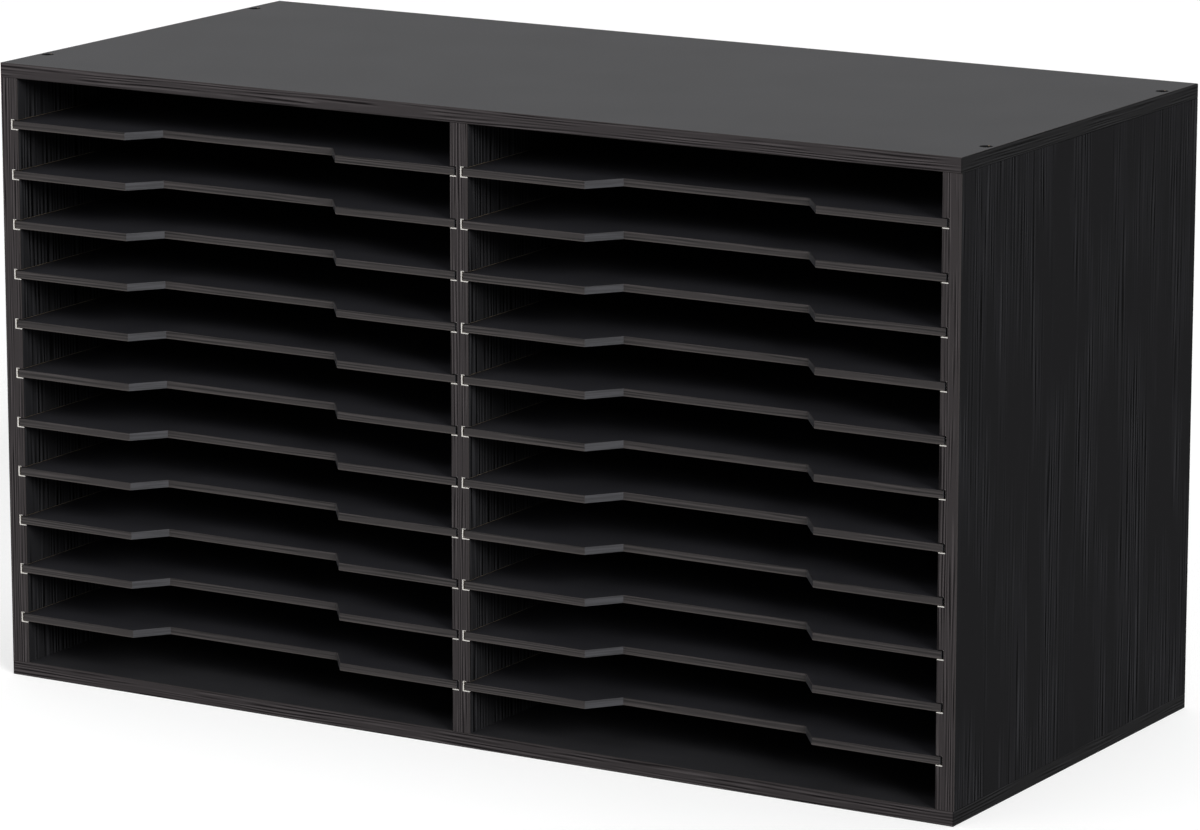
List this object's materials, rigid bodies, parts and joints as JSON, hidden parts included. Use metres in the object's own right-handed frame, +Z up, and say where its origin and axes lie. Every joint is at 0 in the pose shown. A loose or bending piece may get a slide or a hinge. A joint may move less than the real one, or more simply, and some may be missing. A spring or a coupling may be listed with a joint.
{
  "type": "paper sorter cabinet with slide-in shelves",
  "caption": "Free-standing board paper sorter: side-by-side columns of shallow open slots, parted by thin notched shelves that slide in grooves.",
  "frame": {"origin": "centre of the cabinet's underside, on the surface it stands on", "axes": "+X to the right along the width, +Y from the open front to the back, +Z up"},
  "size_m": [0.7, 0.321, 0.408],
  "materials": {
    "cap_laminate": "smooth matt black melamine laminate on board",
    "side_laminate": "black melamine laminate with upright wood grain",
    "edge_banding": "wood-grain print on white plastic edge banding",
    "shelf_laminate": "smooth matt black laminate on thin fibreboard",
    "shelf_banding": "wood-grain print on thin plastic edge banding",
    "back_hardboard": "black lacquered hardboard",
    "screw_steel": "blackened steel",
    "dowel_beech": "plain turned beech"
  },
  "bodies": {
    "carcass": {"top_panel": "cap_laminate", "bottom_panel": "cap_laminate", "top_edge_bands": "edge_banding", "bottom_edge_bands": "edge_banding", "left_side_panel": "side_laminate", "right_side_panel": "side_laminate", "centre_divider": "side_laminate", "left_side_front_band": "edge_banding", "right_side_front_band": "edge_banding", "divider_front_band": "edge_banding", "back_panel": "back_hardboard", "top_corner_screws": "screw_steel", "bottom_corner_screws": "screw_steel", "side_dowels": "dowel_beech", "divider_dowels": "dowel_beech"},
    "left_shelf_01": {"left_shelf_01": "shelf_laminate", "left_shelf_band_01": "shelf_banding"},
    "left_shelf_02": {"left_shelf_02": "shelf_laminate", "left_shelf_band_02": "shelf_banding"},
    "left_shelf_03": {"left_shelf_03": "shelf_laminate", "left_shelf_band_03": "shelf_banding"},
    "left_shelf_04": {"left_shelf_04": "shelf_laminate", "left_shelf_band_04": "shelf_banding"},
    "left_shelf_05": {"left_shelf_05": "shelf_laminate", "left_shelf_band_05": "shelf_banding"},
    "left_shelf_06": {"left_shelf_06": "shelf_laminate", "left_shelf_band_06": "shelf_banding"},
    "left_shelf_07": {"left_shelf_07": "shelf_laminate", "left_shelf_band_07": "shelf_banding"},
    "left_shelf_08": {"left_shelf_08": "shelf_laminate", "left_shelf_band_08": "shelf_banding"},
    "left_shelf_09": {"left_shelf_09": "shelf_laminate", "left_shelf_band_09": "shelf_banding"},
    "left_shelf_10": {"left_shelf_10": "shelf_laminate", "left_shelf_band_10": "shelf_banding"},
    "left_shelf_11": {"left_shelf_11": "shelf_laminate", "left_shelf_band_11": "shelf_banding"},
    "right_shelf_01": {"right_shelf_01": "shelf_laminate", "right_shelf_band_01": "shelf_banding"},
    "right_shelf_02": {"right_shelf_02": "shelf_laminate", "right_shelf_band_02": "shelf_banding"},
    "right_shelf_03": {"right_shelf_03": "shelf_laminate", "right_shelf_band_03": "shelf_banding"},
    "right_shelf_04": {"right_shelf_04": "shelf_laminate", "right_shelf_band_04": "shelf_banding"},
    "right_shelf_05": {"right_shelf_05": "shelf_laminate", "right_shelf_band_05": "shelf_banding"},
    "right_shelf_06": {"right_shelf_06": "shelf_laminate", "right_shelf_band_06": "shelf_banding"},
    "right_shelf_07": {"right_shelf_07": "shelf_laminate", "right_shelf_band_07": "shelf_banding"},
    "right_shelf_08": {"right_shelf_08": "shelf_laminate", "right_shelf_band_08": "shelf_banding"},
    "right_shelf_09": {"right_shelf_09": "shelf_laminate", "right_shelf_band_09": "shelf_banding"},
    "right_shelf_10": {"right_shelf_10": "shelf_laminate", "right_shelf_band_10": "shelf_banding"},
    "right_shelf_11": {"right_shelf_11": "shelf_laminate", "right_shelf_band_11": "shelf_banding"}
  },
  "joints": [
    {"name": "left_shelf_01_slide", "type": "slide", "parent": "carcass", "child": "left_shelf_01", "axis": [0, -1, 0], "range_m": [0, 0.312]},
    {"name": "left_shelf_02_slide", "type": "slide", "parent": "carcass", "child": "left_shelf_02", "axis": [0, -1, 0], "range_m": [0, 0.312]},
    {"name": "left_shelf_03_slide", "type": "slide", "parent": "carcass", "child": "left_shelf_03", "axis": [0, -1, 0], "range_m": [0, 0.312]},
    {"name": "left_shelf_04_slide", "type": "slide", "parent": "carcass", "child": "left_shelf_04", "axis": [0, -1, 0], "range_m": [0, 0.312]},
    {"name": "left_shelf_05_slide", "type": "slide", "parent": "carcass", "child": "left_shelf_05", "axis": [0, -1, 0], "range_m": [0, 0.312]},
    {"name": "left_shelf_06_slide", "type": "slide", "parent": "carcass", "child": "left_shelf_06", "axis": [0, -1, 0], "range_m": [0, 0.312]},
    {"name": "left_shelf_07_slide", "type": "slide", "parent": "carcass", "child": "left_shelf_07", "axis": [0, -1, 0], "range_m": [0, 0.312]},
    {"name": "left_shelf_08_slide", "type": "slide", "parent": "carcass", "child": "left_shelf_08", "axis": [0, -1, 0], "range_m": [0, 0.312]},
    {"name": "left_shelf_09_slide", "type": "slide", "parent": "carcass", "child": "left_shelf_09", "axis": [0, -1, 0], "range_m": [0, 0.312]},
    {"name": "left_shelf_10_slide", "type": "slide", "parent": "carcass", "child": "left_shelf_10", "axis": [0, -1, 0], "range_m": [0, 0.312]},
    {"name": "left_shelf_11_slide", "type": "slide", "parent": "carcass", "child": "left_shelf_11", "axis": [0, -1, 0], "range_m": [0, 0.312]},
    {"name": "right_shelf_01_slide", "type": "slide", "parent": "carcass", "child": "right_shelf_01", "axis": [0, -1, 0], "range_m": [0, 0.312]},
    {"name": "right_shelf_02_slide", "type": "slide", "parent": "carcass", "child": "right_shelf_02", "axis": [0, -1, 0], "range_m": [0, 0.312]},
    {"name": "right_shelf_03_slide", "type": "slide", "parent": "carcass", "child": "right_shelf_03", "axis": [0, -1, 0], "range_m": [0, 0.312]},
    {"name": "right_shelf_04_slide", "type": "slide", "parent": "carcass", "child": "right_shelf_04", "axis": [0, -1, 0], "range_m": [0, 0.312]},
    {"name": "right_shelf_05_slide", "type": "slide", "parent": "carcass", "child": "right_shelf_05", "axis": [0, -1, 0], "range_m": [0, 0.312]},
    {"name": "right_shelf_06_slide", "type": "slide", "parent": "carcass", "child": "right_shelf_06", "axis": [0, -1, 0], "range_m": [0, 0.312]},
    {"name": "right_shelf_07_slide", "type": "slide", "parent": "carcass", "child": "right_shelf_07", "axis": [0, -1, 0], "range_m": [0, 0.312]},
    {"name": "right_shelf_08_slide", "type": "slide", "parent": "carcass", "child": "right_shelf_08", "axis": [0, -1, 0], "range_m": [0, 0.312]},
    {"name": "right_shelf_09_slide", "type": "slide", "parent": "carcass", "child": "right_shelf_09", "axis": [0, -1, 0], "range_m": [0, 0.312]},
    {"name": "right_shelf_10_slide", "type": "slide", "parent": "carcass", "child": "right_shelf_10", "axis": [0, -1, 0], "range_m": [0, 0.312]},
    {"name": "right_shelf_11_slide", "type": "slide", "parent": "carcass", "child": "right_shelf_11", "axis": [0, -1, 0], "range_m": [0, 0.312]}
  ]
}
